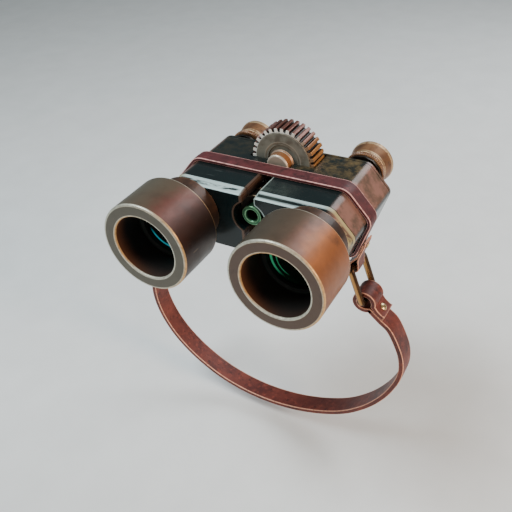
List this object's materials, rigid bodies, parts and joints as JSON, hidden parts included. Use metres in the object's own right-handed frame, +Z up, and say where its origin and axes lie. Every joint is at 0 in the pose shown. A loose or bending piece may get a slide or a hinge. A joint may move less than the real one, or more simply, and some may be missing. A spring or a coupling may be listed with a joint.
{
  "type": "binoculars",
  "caption": "Old field binoculars with wide bronze objective hoods, black prism housings, an exposed geared focus wheel, a leather body belt and a hanging leather carry strap",
  "frame": {"origin": "centre of the hinge tube's open front end, on the hinge axis midway between the two barrels", "axes": "+X to the right seen from the front, +Y from the objectives to the eyepieces along the hinge axis, +Z up through the focus wheel"},
  "size_m": [0.1689, 0.1134, 0.1901],
  "materials": {
    "hood_bronze": "worn bronze brown coating, bare pale metal on the edges",
    "barrel_brown": "dark brown coating with rust",
    "housing_black": "glossy black lacquer with mottled olive and gold wear",
    "cover_black": "glossy black lacquer, bevel worn to pale metal",
    "coated_glass": "green coated optical glass",
    "prism_glass": "clear polished glass",
    "dark_metal": "blackened metal",
    "steel": "dull turned steel",
    "gear_copper": "copper brown teeth, grey olive face, worn pale tips",
    "green_anodised": "green anodised tube",
    "brass": "dark aged brass",
    "belt_leather": "dark red brown leather with pale cut edges",
    "strap_leather": "dark red brown mottled leather with pale cut edges",
    "eyecup_tan": "worn tan copper coating"
  },
  "bodies": {
    "left_half": {"left_objective_hood": "hood_bronze", "left_objective_barrel": "barrel_brown", "left_objective_lens": "coated_glass", "left_lens_retaining_ring": "dark_metal", "left_prism_housing": "housing_black", "left_front_cover": "cover_black", "left_rear_cover": "cover_black", "left_front_prism": "prism_glass", "left_rear_prism": "prism_glass", "left_belt_half": "belt_leather", "left_belt_tab": "belt_leather", "left_tab_rivet": "brass", "left_strap_loop": "strap_leather", "left_strap_rivet": "brass", "left_cover_screw_1": "steel", "left_cover_screw_2": "steel", "left_hinge_lug": "dark_metal", "hinge_tube": "green_anodised", "hinge_tube_plug": "dark_metal", "spindle_bush": "brass", "carry_strap": "strap_leather"},
    "right_half": {"right_objective_hood": "hood_bronze", "right_objective_barrel": "barrel_brown", "right_objective_lens": "coated_glass", "right_lens_retaining_ring": "dark_metal", "right_prism_housing": "housing_black", "right_front_cover": "cover_black", "right_rear_cover": "cover_black", "right_front_prism": "prism_glass", "right_rear_prism": "prism_glass", "right_belt_half": "belt_leather", "right_belt_tab": "belt_leather", "right_tab_rivet": "brass", "right_strap_loop": "strap_leather", "right_strap_rivet": "brass", "right_cover_screw_1": "steel", "right_cover_screw_2": "steel", "right_hinge_lug": "dark_metal"},
    "focus_wheel": {"focus_gear": "gear_copper", "focus_hub": "gear_copper", "focus_spindle": "steel"},
    "left_eyepiece": {"left_eyepiece_tube": "dark_metal", "left_eyepiece_collar": "eyecup_tan", "left_eyecup": "eyecup_tan", "left_eye_lens": "coated_glass", "left_bridge_arm": "dark_metal", "focus_bracket": "dark_metal", "bridge_pin": "steel"},
    "right_eyepiece": {"right_eyepiece_tube": "dark_metal", "right_bridge_arm": "dark_metal"},
    "right_dioptre": {"right_dioptre_ring": "eyecup_tan", "right_eyecup": "eyecup_tan", "right_eye_lens": "coated_glass"},
    "left_ring": {"left_ring_link": "brass"},
    "right_ring": {"right_ring_link": "brass"}
  },
  "joints": [
    {"name": "interpupillary_hinge", "type": "hinge", "parent": "left_half", "child": "right_half", "pos_m": [0, 0, 0], "axis": [0, 1, 0], "range_deg": [0, 15], "deforming": ["carry_strap"]},
    {"name": "focus_wheel_turn", "type": "hinge", "parent": "left_half", "child": "focus_wheel", "pos_m": [0, 0.04, 0.013], "axis": [0, 1, 0], "range_deg": [-270, 270]},
    {"name": "left_eyepiece_slide", "type": "slide", "parent": "left_half", "child": "left_eyepiece", "axis": [0, 1, 0], "range_m": [-0.003, 0.003]},
    {"name": "right_eyepiece_slide", "type": "slide", "parent": "right_half", "child": "right_eyepiece", "axis": [0, 1, 0], "range_m": [-0.003, 0.003]},
    {"name": "dioptre_turn", "type": "hinge", "parent": "right_eyepiece", "child": "right_dioptre", "pos_m": [0.035, 0.0605, 0.0014], "axis": [0, 1, 0], "range_deg": [-60, 60]},
    {"name": "left_ring_swing", "type": "hinge", "parent": "left_half", "child": "left_ring", "pos_m": [-0.04668, 0.0226, -0.02938], "axis": [0, 1, 0], "range_deg": [-4.5, 4.5]},
    {"name": "right_ring_swing", "type": "hinge", "parent": "right_half", "child": "right_ring", "pos_m": [0.04668, 0.0226, -0.02938], "axis": [0, 1, 0], "range_deg": [-4.5, 4.5]}
  ],
  "couplings": [
    {"joint": "left_eyepiece_slide", "follows": "focus_wheel_turn", "m_per_rad": 0.0006},
    {"joint": "right_eyepiece_slide", "follows": "focus_wheel_turn", "m_per_rad": 0.0006}
  ]
}
